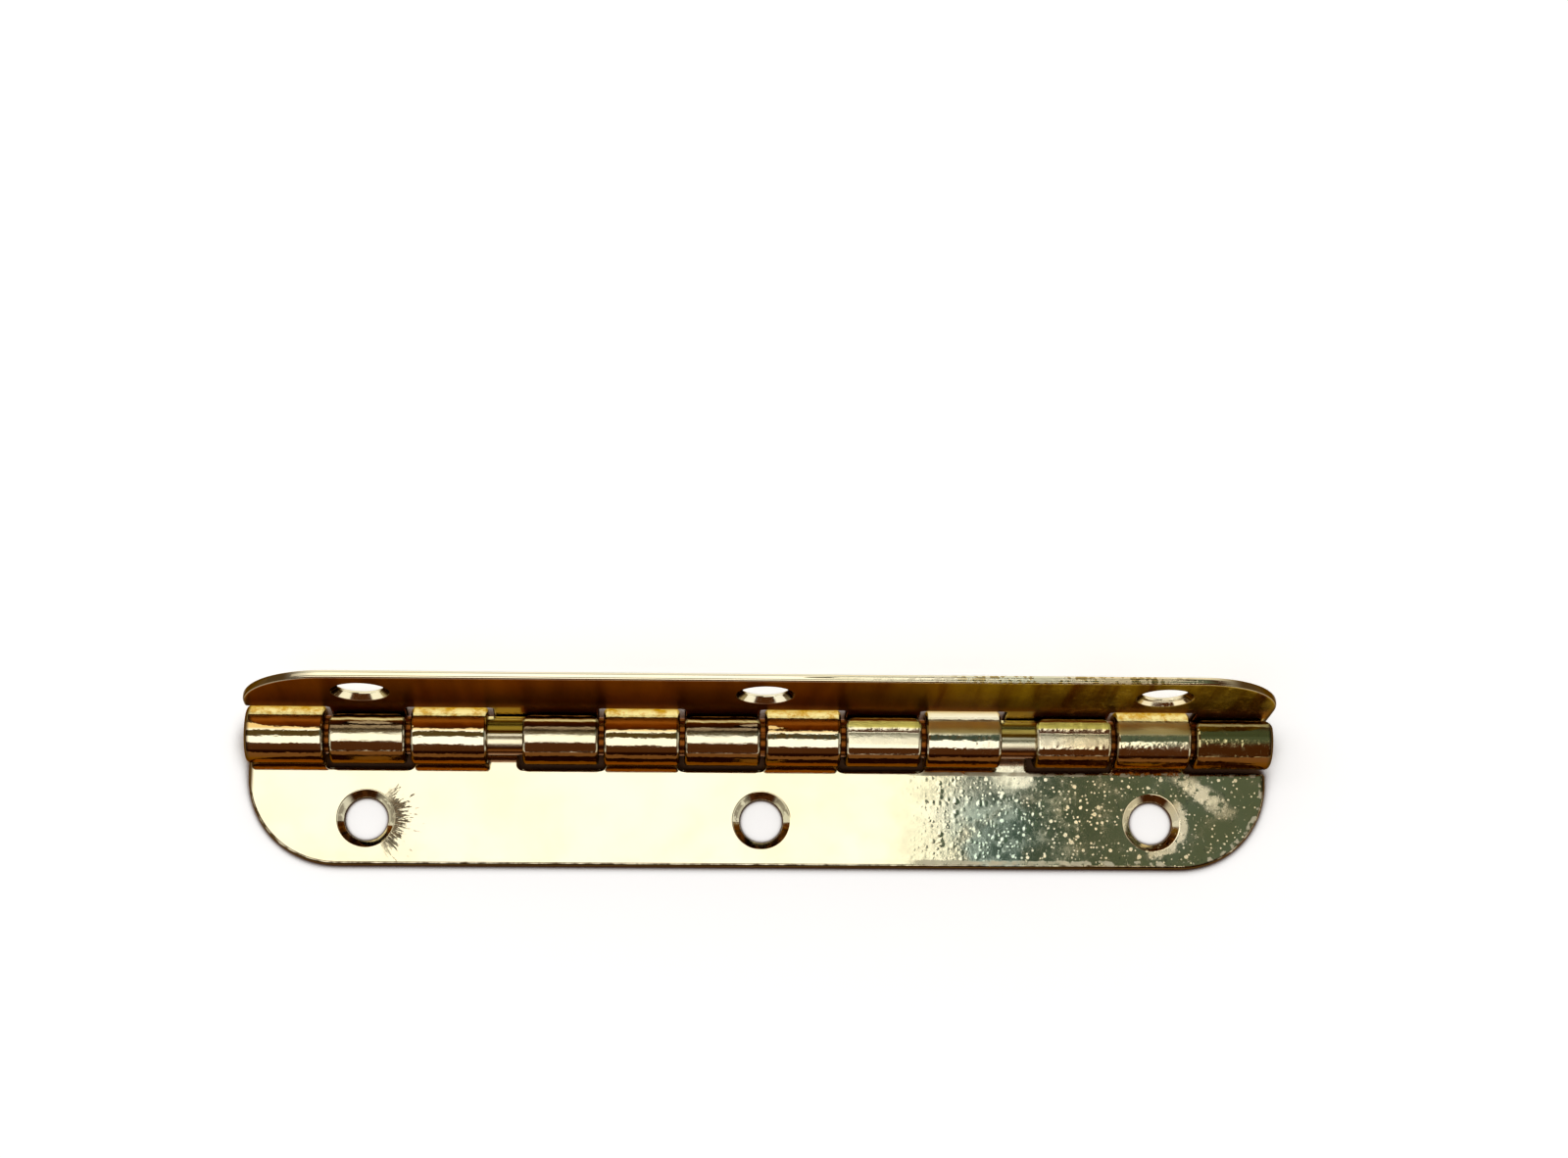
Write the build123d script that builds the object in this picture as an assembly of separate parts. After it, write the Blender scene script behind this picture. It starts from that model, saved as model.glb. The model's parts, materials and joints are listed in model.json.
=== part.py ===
from build123d import *
import os
from math import cos, degrees, hypot, radians, sin, sqrt

# Small brass cabinet hinge: two identical stamped leaves, rolled into knuckles round one pin.
# Units are millimetres. X runs along the pin and Z is up. The front leaf lies flat with its
# seating face on Z = 0, and the origin is on that face, at the middle hole of its screw row.
# The back leaf stands behind it, open against the stop tabs.

# Leaf
LEAF_LENGTH = 65.0
LEAF_WIDTH = 8.05  # from the pin's axis to the free edge
SHEET = 0.55
CORNER_RADIUS = 5.7
SIDE_LAND = 0.3  # least straight side between a corner and the slots
EDGE_ROUND = 0.1  # of the stamped edges, on both faces

# Barrel
PIN_DIAMETER = 2.45
PIN_PLAY = 0.03  # radial, between the pin and the rolled sheet
PIN_INSET = 0.15  # of each pin end, inside the end of the barrel
PIN_END_ROUND = 0.3
KNUCKLE_GROUPS = (3, 6, 3)  # knuckles on each side of the stop tabs
KNUCKLE_GAP = 0.3  # end play between neighbouring knuckles
ROLL_ANGLE = 306.0  # how far the sheet wraps round the pin
CURL_CORNER_RADIUS = 0.6
SLOT_CLEARANCE = 0.42  # between a knuckle and the slot that it turns in

# Stop
OPENING = 95.0  # between the leaves when the stop tabs meet
STOP_WIDTH = 1.9  # room for the stop tabs between two knuckle groups
STOP_CLEARANCE = 0.05

# Screw holes
HOLE_COUNT = 3
HOLE_PITCH = 25.0
HOLE_EDGE = 2.95  # from the free edge to the hole's centre
HOLE_DIAMETER = 2.8
SINK_DIAMETER = 3.7
SINK_LAND = 0.2  # straight wall left under the sink

# Worked out from the sizes above
bore_radius = PIN_DIAMETER / 2 + PIN_PLAY
barrel_radius = bore_radius + SHEET
axis_y = LEAF_WIDTH - HOLE_EDGE
slot_depth = sqrt((barrel_radius + SLOT_CLEARANCE) ** 2 - bore_radius**2)
stop_count = len(KNUCKLE_GROUPS) - 1
knuckle_pitch = (LEAF_LENGTH - stop_count * STOP_WIDTH) / sum(KNUCKLE_GROUPS)
stop_slack = degrees(STOP_CLEARANCE / (bore_radius + SHEET / 2))
stop_roll = (180 - OPENING - stop_slack) / 2
START_ANGLE = -90  # the roll leaves the leaf straight below the pin
TOUCH = 1e-4  # how near a point counts as on a face


def leaf_spans():
    """Where along X a leaf has knuckles, and where it has stop tabs: two lists of (start, end)."""
    x = -LEAF_LENGTH / 2
    half_gap = KNUCKLE_GAP / 2
    knuckles = []
    tabs = []
    index = 0
    for group in KNUCKLE_GROUPS:
        if index > 0:
            tabs.append((x - half_gap, x + STOP_WIDTH - half_gap))
            x += STOP_WIDTH
        for _ in range(group):
            if index % 2 == 0:
                start = x if index == 0 else x + half_gap
                knuckles.append((start, x + knuckle_pitch - half_gap))
            x += knuckle_pitch
            index += 1
    return knuckles, tabs


def rolled_strip(start, end, angle):
    """Sheet from the slot's bottom to the pin, then rolled round it by an angle."""
    outer = CenterArc((0, 0), barrel_radius, START_ANGLE, angle)
    inner = CenterArc((0, 0), bore_radius, START_ANGLE, angle)
    root_outer = (-slot_depth, -barrel_radius)
    root_inner = (-slot_depth, -bore_radius)
    section = make_face(
        [
            Line(root_outer, outer @ 0),
            outer,
            Line(outer @ 1, inner @ 1),
            inner,
            Line(inner @ 0, root_inner),
            Line(root_inner, root_outer),
        ]
    )
    return extrude(Plane.YZ.offset(start) * section, end - start)


def knuckle(start, end):
    """One rolled knuckle, with the corners of its curled end rounded."""
    strip = rolled_strip(start, end, ROLL_ANGLE)
    end_angle = radians(START_ANGLE + ROLL_ANGLE)
    mid_radius = bore_radius + SHEET / 2
    corners = []
    for x in (start, end):
        corner = Vector(x, mid_radius * cos(end_angle), mid_radius * sin(end_angle))
        corners.append(strip.edges().sort_by_distance(corner)[0])
    return fillet(corners, CURL_CORNER_RADIUS)


def plate():
    """The flat of a leaf, from its free edge to the bottom of its slots."""
    depth = LEAF_WIDTH - slot_depth
    outline = Pos(0, -slot_depth - depth / 2) * Rectangle(LEAF_LENGTH, depth)
    outline = fillet(outline.vertices().group_by(Axis.Y)[0], min(CORNER_RADIUS, depth - SIDE_LAND))
    return extrude(Pos(0, 0, -barrel_radius) * outline, SHEET)


def screw_hole(x):
    """Cutter for one screw hole, sunk on the inner face."""
    sink_depth = SHEET - SINK_LAND
    through = Cylinder(HOLE_DIAMETER / 2, 3 * SHEET)
    sink = Pos(0, 0, (SHEET - sink_depth) / 2) * Cone(HOLE_DIAMETER / 2, SINK_DIAMETER / 2, sink_depth)
    return Pos(x, -axis_y, -bore_radius - SHEET / 2) * (through + sink)


def on_face(point, radius):
    """Whether a point is on the sheet's face that runs at a radius from the pin, flat or rolled."""
    flat = point.Y <= TOUCH and abs(point.Z + radius) < TOUCH
    return flat or abs(hypot(point.Y, point.Z) - radius) < TOUCH


def stamped_edges(body, radius):
    """The outline and holes of one face of the sheet, without the seam where flat turns to roll."""
    found = []
    for edge in body.edges():
        points = [edge @ 0, edge @ 0.25, edge @ 0.5, edge @ 0.75, edge @ 1]
        seam = all(abs(point.Y) < TOUCH and point.Z < 0 for point in points)
        if not seam and all(on_face(point, radius) for point in points):
            found.append(edge)
    return found


def leaf():
    """One leaf lying flat, with the pin's axis along X through the origin."""
    knuckles, tabs = leaf_spans()
    body = plate()
    for start, end in knuckles:
        body += knuckle(start, end)
    for start, end in tabs:
        body += rolled_strip(start, end, stop_roll)
    first_hole = -HOLE_PITCH * (HOLE_COUNT - 1) / 2
    for number in range(HOLE_COUNT):
        body -= screw_hole(first_hole + number * HOLE_PITCH)
    edges = stamped_edges(body, bore_radius) + stamped_edges(body, barrel_radius)
    return fillet(edges, EDGE_ROUND)


def pin():
    """The plain pin, along X through the origin."""
    rod = Cylinder(PIN_DIAMETER / 2, LEAF_LENGTH - 2 * PIN_INSET)
    rod = fillet(rod.edges().filter_by(GeomType.CIRCLE), PIN_END_ROUND)
    return Rot(Y=90) * rod


at_pin = Pos(0, axis_y, barrel_radius)
flat_leaf = leaf()
parts = {
    "front_leaf": at_pin * flat_leaf,
    "back_leaf": at_pin * Rot(X=180 - OPENING) * Rot(Z=180) * flat_leaf,
    "hinge_pin": at_pin * pin(),
}

os.makedirs("parts", exist_ok=True)
for name, solid in parts.items():
    export_step(solid, f"parts/{name}.step")
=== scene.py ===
import json
from math import atan2, ceil, cos, radians, sin, sqrt, tan

import bmesh
import bpy
from mathutils import Matrix, Vector


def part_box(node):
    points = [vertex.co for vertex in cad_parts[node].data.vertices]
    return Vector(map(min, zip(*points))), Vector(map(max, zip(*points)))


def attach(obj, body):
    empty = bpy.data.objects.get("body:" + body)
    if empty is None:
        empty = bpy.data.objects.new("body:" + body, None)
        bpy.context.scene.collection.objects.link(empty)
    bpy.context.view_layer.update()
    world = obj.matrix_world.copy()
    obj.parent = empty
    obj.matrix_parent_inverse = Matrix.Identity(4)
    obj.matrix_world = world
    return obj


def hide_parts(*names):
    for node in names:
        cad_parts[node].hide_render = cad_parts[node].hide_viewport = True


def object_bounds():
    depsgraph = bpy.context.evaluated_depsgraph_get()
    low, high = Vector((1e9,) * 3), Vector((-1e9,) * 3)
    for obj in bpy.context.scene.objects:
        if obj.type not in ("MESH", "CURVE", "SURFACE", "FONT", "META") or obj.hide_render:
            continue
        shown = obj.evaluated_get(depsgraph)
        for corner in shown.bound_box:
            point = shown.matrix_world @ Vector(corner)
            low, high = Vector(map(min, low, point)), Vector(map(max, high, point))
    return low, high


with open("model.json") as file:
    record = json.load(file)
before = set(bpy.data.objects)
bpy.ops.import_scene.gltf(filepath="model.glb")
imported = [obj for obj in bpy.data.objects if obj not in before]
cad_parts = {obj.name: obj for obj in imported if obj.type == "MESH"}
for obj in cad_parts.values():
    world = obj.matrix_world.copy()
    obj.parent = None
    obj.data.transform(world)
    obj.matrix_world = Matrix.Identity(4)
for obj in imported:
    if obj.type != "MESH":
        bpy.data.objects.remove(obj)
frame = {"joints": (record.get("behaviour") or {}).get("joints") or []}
cad_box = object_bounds()

# Small brass cabinet hinge: two stamped leaves, rolled into knuckles round one pin.
# Sizes are in millimetres and the scene is in metres.
MM = 0.001

# Leaf
LEAF_WIDTH = 8.05  # from the pin's axis to the free edge
SHEET = 0.55
CORNER_RADIUS = 5.7
INNER_EDGE_ROUND = 0.2
OUTER_EDGE_ROUND = 0.24  # the rolled side of the stamped edge

# Barrel
PIN_RADIUS = 1.225
PIN_PLAY = 0.03
PIN_END_ROUND = 0.3
KNUCKLE_GROUPS = (3, 6, 3)
KNUCKLE_GAP = 0.3
STOP_WIDTH = 1.9
ROLL_ANGLE = radians(306)
STOP_CLEARANCE = 0.05
CURL_CORNER_RADIUS = 0.6
SLOT_CLEARANCE = 0.42
NOTCH_RADIUS = 0.26  # in the small corners of slots and tabs

# Screw holes
HOLE_PITCH = 25.0
HOLE_COUNT = 3
HOLE_EDGE = 2.95
HOLE_RADIUS = 1.4
SINK_RADIUS = 1.85
SINK_LAND = 0.2
SINK_ROUND = 0.12
LAND_ROUND = 0.06

# Mesh fineness
ARC_STEP = radians(6)
ROLL_STEP = radians(3)
PIN_SEGMENTS = 120
TOUCH = 1e-6  # how near two points count as one

# Worked out from the frame and the sizes above
hinge = frame["joints"][0]
axis_y = LEAF_WIDTH - HOLE_EDGE
opening = hinge["range_deg"][1]
leaf_length = (cad_box[1].x - cad_box[0].x) / MM
bore_radius = PIN_RADIUS + PIN_PLAY
barrel_radius = bore_radius + SHEET
mid_radius = bore_radius + SHEET / 2
slot_depth = sqrt((barrel_radius + SLOT_CLEARANCE) ** 2 - bore_radius**2)
stop_count = len(KNUCKLE_GROUPS) - 1
knuckle_pitch = (leaf_length - stop_count * STOP_WIDTH) / sum(KNUCKLE_GROUPS)
stop_middle = (knuckle_pitch * KNUCKLE_GROUPS[1] + STOP_WIDTH) / 2  # along X, on each side


def rounded(corners, closed):
    """Points and outward normals of a path whose corners, as (x, y, radius), are rounded.

    The material is on the path's left. An open path leaves out its first and last corner.
    """
    count = len(corners)
    found = []
    for i in range(count) if closed else range(1, count - 1):
        before, here, after = (Vector(corners[(i + k) % count][:2]) for k in (-1, 0, 1))
        radius = corners[i][2]
        inward = (here - before).normalized()
        onward = (after - here).normalized()
        turn = atan2(inward.cross(onward), inward.dot(onward))
        side = 1 if turn > 0 else -1
        start = here - inward * radius * tan(abs(turn) / 2)
        centre = start - side * radius * Vector((inward.y, -inward.x))
        steps = ceil(abs(turn) / ARC_STEP)
        for k in range(steps + 1):
            heading = Matrix.Rotation(turn * k / steps, 2) @ inward
            normal = Vector((heading.y, -heading.x))
            found.append((centre + side * radius * normal, normal))
    return found


def leaf_spans():
    """Where along X a leaf has knuckles, and where it has stop tabs: two lists of (start, end)."""
    x = -leaf_length / 2
    half_gap = KNUCKLE_GAP / 2
    knuckles = []
    tabs = []
    index = 0
    for group in KNUCKLE_GROUPS:
        if index > 0:
            tabs.append((x - half_gap, x + STOP_WIDTH - half_gap))
            x += STOP_WIDTH
        for _ in range(group):
            if index % 2 == 0:
                start = x if index == 0 else x + half_gap
                knuckles.append((start, x + knuckle_pitch - half_gap))
            x += knuckle_pitch
            index += 1
    return knuckles, tabs


def leaf_outline():
    """Corners of the leaf's flat pattern. Its Y runs from the line under the pin into the roll."""
    knuckles, tabs = leaf_spans()
    end = leaf_length / 2
    tip = ROLL_ANGLE * mid_radius
    tab_tip = (radians(180 - opening) * mid_radius - STOP_CLEARANCE) / 2
    corners = [
        (-end, -LEAF_WIDTH, CORNER_RADIUS),
        (end, -LEAF_WIDTH, CORNER_RADIUS),
        (end, -slot_depth, NOTCH_RADIUS),
    ]
    for left, right in reversed(knuckles):
        for tab_left, tab_right in tabs:
            if abs(tab_left - right) < KNUCKLE_GAP / 2:
                corners.append((tab_right, -slot_depth, NOTCH_RADIUS))
                corners.append((tab_right, tab_tip, NOTCH_RADIUS))
                corners.append((right, tab_tip, NOTCH_RADIUS))
                break
        else:
            corners.append((right, -slot_depth, NOTCH_RADIUS))
        corners.append((right, tip, CURL_CORNER_RADIUS))
        corners.append((left, tip, CURL_CORNER_RADIUS))
        if left > -end:
            corners.append((left, -slot_depth, NOTCH_RADIUS))
    return corners


def edge_profile():
    """Section of a stamped edge, as (inset, height) from the inner face to the outer one."""
    far = SHEET
    path = [(far, SHEET, 0), (0, SHEET, INNER_EDGE_ROUND), (0, 0, OUTER_EDGE_ROUND), (far, 0, 0)]
    return rounded(path, closed=False)


def sink_profile():
    """Section of a screw hole, as (inset, height) from the inner face to the outer one."""
    far = SINK_RADIUS
    path = [
        (far, SHEET, 0),
        (SINK_RADIUS - HOLE_RADIUS, SHEET, SINK_ROUND),
        (0, SINK_LAND, LAND_ROUND),
        (0, 0, INNER_EDGE_ROUND),
        (far, 0, 0),
    ]
    return rounded(path, closed=False)


def hole_loop(x):
    """Points and normals of one screw hole's edge, with the material on its left."""
    centre = Vector((x, -axis_y))
    steps = ceil(radians(360) / ARC_STEP)
    found = []
    for k in range(steps):
        angle = -radians(360) * k / steps
        outward = Vector((cos(angle), sin(angle)))
        found.append((centre + HOLE_RADIUS * outward, -outward))
    return found


def add_wall(mesh, layer, loop, profile):
    """Sweep an edge section along a loop. Gives the rims on the inner and the outer face."""
    rows = []
    for section, section_normal in profile:
        row = []
        for point, normal in loop:
            place = point - normal * section.x
            vertex = mesh.verts.new((place.x, place.y, section.y))
            out = -section_normal.x
            vertex[layer] = (normal.x * out, normal.y * out, section_normal.y)
            row.append(vertex)
        rows.append(row)
    count = len(loop)
    for upper, lower in zip(rows, rows[1:]):
        for k in range(count):
            mesh.faces.new((upper[k], lower[k], lower[(k + 1) % count], upper[(k + 1) % count]))
    rims = []
    for row in (rows[0], rows[-1]):
        rims.append([mesh.edges.get((row[k], row[(k + 1) % count])) for k in range(count)])
    return rims


def flat_leaf():
    """The leaf's flat pattern as a mesh with thickness, and the layer of its normals."""
    mesh = bmesh.new()
    layer = mesh.verts.layers.float_vector.new("flat_normal")
    inner, outer = add_wall(mesh, layer, rounded(leaf_outline(), closed=True), edge_profile())
    first = -HOLE_PITCH * (HOLE_COUNT - 1) / 2
    for number in range(HOLE_COUNT):
        rims = add_wall(mesh, layer, hole_loop(first + number * HOLE_PITCH), sink_profile())
        inner = inner + rims[0]
        outer = outer + rims[1]
    bmesh.ops.triangle_fill(mesh, edges=inner, use_beauty=True, normal=(0, 0, 1))
    bmesh.ops.triangle_fill(mesh, edges=outer, use_beauty=True, normal=(0, 0, -1))
    return mesh, layer


def cut_roll(mesh):
    """Cut the part that will be rolled into narrow strips."""
    steps = ceil(ROLL_ANGLE / ROLL_STEP)
    ahead = list(mesh.faces)
    for k in range(steps):
        height = ROLL_ANGLE * mid_radius * k / steps
        ahead = [face for face in ahead if max(v.co.y for v in face.verts) > height + TOUCH]
        geometry = set(ahead)
        for face in ahead:
            geometry.update(face.edges)
            geometry.update(face.verts)
        cut = bmesh.ops.bisect_plane(
            mesh, geom=list(geometry), dist=TOUCH, plane_co=(0, height, 0), plane_no=(0, 1, 0)
        )
        ahead = [part for part in cut["geom"] if isinstance(part, bmesh.types.BMFace)]


def roll(place, normal):
    """Wrap a flat point and its normal round the pin, whose axis is X through the origin."""
    radius = barrel_radius - place.z
    turn = max(place.y, 0) / mid_radius
    along = Vector((0, cos(turn), sin(turn)))
    to_pin = Vector((0, -sin(turn), cos(turn)))
    rolled = Vector((place.x, 0, 0)) + min(place.y, 0) * along - radius * to_pin
    stretch = mid_radius / radius if place.y > 0 else 1
    facing = Vector((normal.x, 0, 0)) + normal.y * stretch * along + normal.z * to_pin
    return rolled, facing.normalized()


def rolled_leaf():
    """The leaf lying flat, with the pin's axis along X through the origin, and its normals."""
    mesh, layer = flat_leaf()
    cut_roll(mesh)
    mesh.verts.index_update()
    pattern = mesh.verts.layers.float_vector.new("pattern")
    normals = []
    for vertex in mesh.verts:
        vertex[pattern] = vertex.co
        vertex.co, facing = roll(vertex.co, vertex[layer])
        normals.append(facing)
    for face in mesh.faces:
        face.smooth = True
        face.normal_update()
        if face.normal.dot(sum((normals[v.index] for v in face.verts), Vector())) < 0:
            face.normal_flip()
    return mesh, normals


def leaf_mesh(name, leaf, normals, placing):
    """A copy of the rolled leaf, put in its place."""
    data = bpy.data.meshes.new(name)
    leaf.to_mesh(data)
    data.transform(Matrix.Scale(MM, 4) @ placing)
    turn = placing.to_3x3()
    data.normals_split_custom_set_from_vertices([turn @ normal for normal in normals])
    return data


def pin_mesh(name, placing):
    """The plain pin as a lathed mesh."""
    low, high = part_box("hinge_pin")
    half = (high.x - low.x) / 2 / MM
    path = [
        (0, -half, 0),
        (PIN_RADIUS, -half, PIN_END_ROUND),
        (PIN_RADIUS, half, PIN_END_ROUND),
        (0, half, 0),
    ]
    profile = rounded(path, closed=False)
    mesh = bmesh.new()
    normals = []
    rows = []
    for point, normal in profile:
        row = []
        for k in range(PIN_SEGMENTS):
            angle = radians(360) * k / PIN_SEGMENTS
            spoke = Vector((0, cos(angle), sin(angle)))
            row.append(mesh.verts.new((placing @ (Vector((point.y, 0, 0)) + point.x * spoke)) * MM))
            normals.append(Vector((normal.y, 0, 0)) + normal.x * spoke)
        rows.append(row)
    for near, far in zip(rows, rows[1:]):
        for k in range(PIN_SEGMENTS):
            after = (k + 1) % PIN_SEGMENTS
            mesh.faces.new((near[k], near[after], far[after], far[k]))
    mesh.faces.new(rows[0])
    mesh.faces.new(rows[-1])
    bmesh.ops.recalc_face_normals(mesh, faces=mesh.faces)
    for face in mesh.faces:
        face.smooth = True
    data = bpy.data.meshes.new(name)
    mesh.to_mesh(data)
    mesh.free()
    data.normals_split_custom_set_from_vertices(normals)
    return data


def add_piece(data, material, body, node):
    """Put a mesh in the scene in place of a node, riding on its body."""
    data.materials.append(material)
    piece = bpy.data.objects.new(data.name, data)
    bpy.context.scene.collection.objects.link(piece)
    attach(piece, body)
    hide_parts(node)


class Nodes:
    """Small helper for building a node tree."""

    def __init__(self, tree):
        self.tree = tree

    def add(self, kind, *values, **settings):
        """A node with its inputs filled in order: sockets are linked, and numbers are set."""
        node = self.tree.nodes.new("ShaderNode" + kind)
        for key, value in settings.items():
            setattr(node, key, value)
        for socket, value in zip(node.inputs, values):
            self.feed(socket, value)
        return node

    def feed(self, socket, value):
        """Link an input to another node, or set it to a number or a colour."""
        if isinstance(value, bpy.types.NodeSocket):
            self.tree.links.new(value, socket)
        else:
            socket.default_value = value

    def math(self, operation, *values):
        """One step of arithmetic."""
        return self.add("Math", *values, operation=operation).outputs[0]

    def chain(self, operation, first, *others):
        """The same step of arithmetic over all the values."""
        for value in others:
            first = self.math(operation, first, value)
        return first

    def product(self, *values):
        """All the values multiplied."""
        return self.chain("MULTIPLY", *values)

    def total(self, *values):
        """All the values added."""
        return self.chain("ADD", *values)

    def largest(self, *values):
        """The largest of the values."""
        return self.chain("MAXIMUM", *values)

    def less(self, value, amount):
        """A value less an amount."""
        return self.math("SUBTRACT", value, amount)

    def apart(self, value, middle):
        """How far a value is from a number, to either side."""
        return self.math("ABSOLUTE", self.less(value, middle))

    def length(self, along, up):
        """Length of a line with these two sides."""
        return self.math("SQRT", self.total(self.math("POWER", along, 2), self.math("POWER", up, 2)))

    def ramp(self, value, low, high, out_low=0, out_high=1):
        """Smooth step of a value from one number to another."""
        node = self.add("MapRange", value, low, high, out_low, out_high, interpolation_type="SMOOTHSTEP")
        return node.outputs["Result"]

    def band(self, value, start, full, fade, end):
        """1 in a range of the value, with a smooth rise before it and a smooth fall after it."""
        return self.product(self.ramp(value, start, full), self.ramp(value, end, fade))

    def noise(self, place, scale, detail, roughness, stretch=(1, 1, 1), shift=(0, 0, 0)):
        """Noise over a place, with about one blob in each 1 / scale."""
        moved = self.add("Mapping", place)
        moved.inputs["Scale"].default_value = stretch
        moved.inputs["Location"].default_value = shift
        node = self.add("TexNoise", moved.outputs[0])
        node.inputs["Scale"].default_value = scale
        node.inputs["Detail"].default_value = detail
        node.inputs["Roughness"].default_value = roughness
        return node.outputs["Fac"]

    def mix(self, factor, first, second):
        """Blend of two colours."""
        node = self.add("Mix", data_type="RGBA")
        self.feed(node.inputs["Factor"], factor)
        self.feed(node.inputs["A"], first)
        self.feed(node.inputs["B"], second)
        return node.outputs["Result"]


# Colours of the metal, and of the shade, reflections and highlights painted on it
BRASS = (0.93, 0.86, 0.63, 1)
BRASS_DEEP = (0.92, 0.84, 0.55, 1)
BRASS_GOLD = (0.93, 0.78, 0.33, 1)
BRASS_YELLOW = (0.92, 0.81, 0.19, 1)
BRASS_ORANGE = (0.62, 0.36, 0.06, 1)
BRASS_STAIN = (0.92, 0.77, 0.46, 1)
BRASS_DULL = (0.60, 0.50, 0.20, 1)
BRASS_TEAL = (0.74, 0.90, 0.74, 1)
# Painted dark reflection on the standing leaf's inner face; the first is also painted shade on the pin,
# the third also the dashes on its top edge
REFLECTION_AND_SHADE_BROWN = (0.19, 0.058, 0.008, 1)
REFLECTION_STREAK_DARK = (0.11, 0.030, 0.004, 1)
REFLECTION_AND_DASH_OLIVE = (0.36, 0.23, 0.03, 1)
# painted reflection at the foot of the standing leaf
FOOT_REFLECTION_WARM = (0.52, 0.22, 0.05, 1)
# painted shade above the crown of its knuckles
HOOD_SHADE = (0.14, 0.070, 0.012, 1)
# painted shade under the barrel
UNDER_BARREL_SHADE = (0.15, 0.055, 0.011, 1)
# Painted shade and dark reflection on cut edges; also the dark colour of the scratches
EDGE_SHADE_AND_SCRATCH = (0.085, 0.045, 0.014, 1)
PIN_SHADE = (0.21, 0.135, 0.014, 1)
PIN_SHADE_GOLD = (0.34, 0.26, 0.06, 1)

# What differs between the front leaf and the standing leaf, in that order
TINT = ((0.6, 0.42, 0.2, 1), (0.5, 0.42, 0.34, 1))
TOWARDS_GRAIN = (1, -1)  # along the flat pattern's X
NOISE_SHIFT = ((0, 0, 0), (40, 11, 5))
DOT_ROUGHNESS = (0.14, 0.36)
DOTS_ON_FLAT = (1, 0.6)
TEAL_SHARE = (1, 0.3)

# Heights of the relief, in metres
SPECK_HEIGHT = 1.7e-5
GRAIN_HEIGHT = 3.5e-6
WAVE_HEIGHT = 2.2e-5
SCRATCH_HEIGHT = 3e-5
BURR_HEIGHT = 1.2e-4
RIDGE_HEIGHT = 1.1e-4
WIRE_HEIGHT = 3e-6

# Where the finish changes, as the start and end of a change, or of a rise and then a fall.
# Across is along X from the middle towards the grainy end, and outward is along X to either end.
# Depth is the flat pattern's Y, below 0 on the flat of the leaf. These are in millimetres.
# A turn is in degrees round the roll.
ROLL_TURN = mid_radius * radians(1)  # flat length of one degree of roll
ROLLED = (-1.0, 0.5)  # depth
GRAIN = (8, 15)  # across
GRAIN_FLATTENS = (11, 15)  # across
GRAIN_FLATTEST = 0.4
DOTS_BEGIN = (9, 13)  # across
DOTS_GROW = (14, 20)  # across
DOTS_AT_FIRST = 0.5
DOTS_ON_ROLL = 0.35
DOT_SIZE = 0.34  # of a cell
DOT_BLUR = 0.08
LARGE_DOTS = (2.2, 0.8)  # cells in a millimetre, and the share with a dot
SMALL_DOTS = (4.2, 0.85)
LARGE_SPECKS = (2.0, 0.75)
SMALL_SPECKS = (4.0, 0.6)
SMALL_SPECK_RISE = 0.4
CLOUD_ROUGHNESS = 0.12
TEAL = (11, 14, 16, 20)  # across
TEAL_MOST = 0.8
TEAL_FADE = (-2.5, -5.0, 0.2, 1)  # depth, and how much
TEAL_END = (-1.5, -2.0)  # depth
STAIN = (16, 21)  # across
CUT_SKIN = (0.02, 0.08, 0.07, 0.01)  # from the faces, of the part of a cut edge with painted shade and dark reflection
SIDE_SKIN = (0.004, 0.03, 0.03, 0.004)  # the same, at the sides of a knuckle
ROUNDED_ENDS = (leaf_length / 2 - 5.5, leaf_length / 2 - 3.0)  # outward
BARREL_ENDS = (leaf_length / 2 - 0.4, leaf_length / 2 - 0.15)  # outward


class Metal(Nodes):
    """A metal in the making: its colour, roughness and relief so far."""

    def __init__(self, name):
        self.material = bpy.data.materials.new(name)
        self.material.use_nodes = True
        super().__init__(self.material.node_tree)
        self.shader = self.tree.nodes["Principled BSDF"]
        self.shader.inputs["Metallic"].default_value = 1

    def paint(self, amount, colour):
        """Blend a colour over the metal."""
        self.colour = self.mix(amount, self.colour, colour)

    def roughen(self, amount, most=1):
        """Add to the roughness, by most where the amount is 1."""
        self.rough = self.total(self.rough, self.product(amount, most))

    def lift(self, amount, most=1):
        """Add to the height, by most where the amount is 1."""
        self.height = self.total(self.height, self.product(amount, most))

    def relief(self):
        """Normals that follow the height."""
        bump = self.add("Bump")
        bump.inputs["Strength"].default_value = 1
        bump.inputs["Distance"].default_value = 1
        self.feed(bump.inputs["Height"], self.height)
        return bump.outputs[0]

    def done(self, normal):
        """The material, with all of it joined to its shader."""
        self.feed(self.shader.inputs["Base Color"], self.colour)
        self.feed(self.shader.inputs["Roughness"], self.rough)
        self.feed(self.shader.inputs["Normal"], normal)
        return self.material


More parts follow.
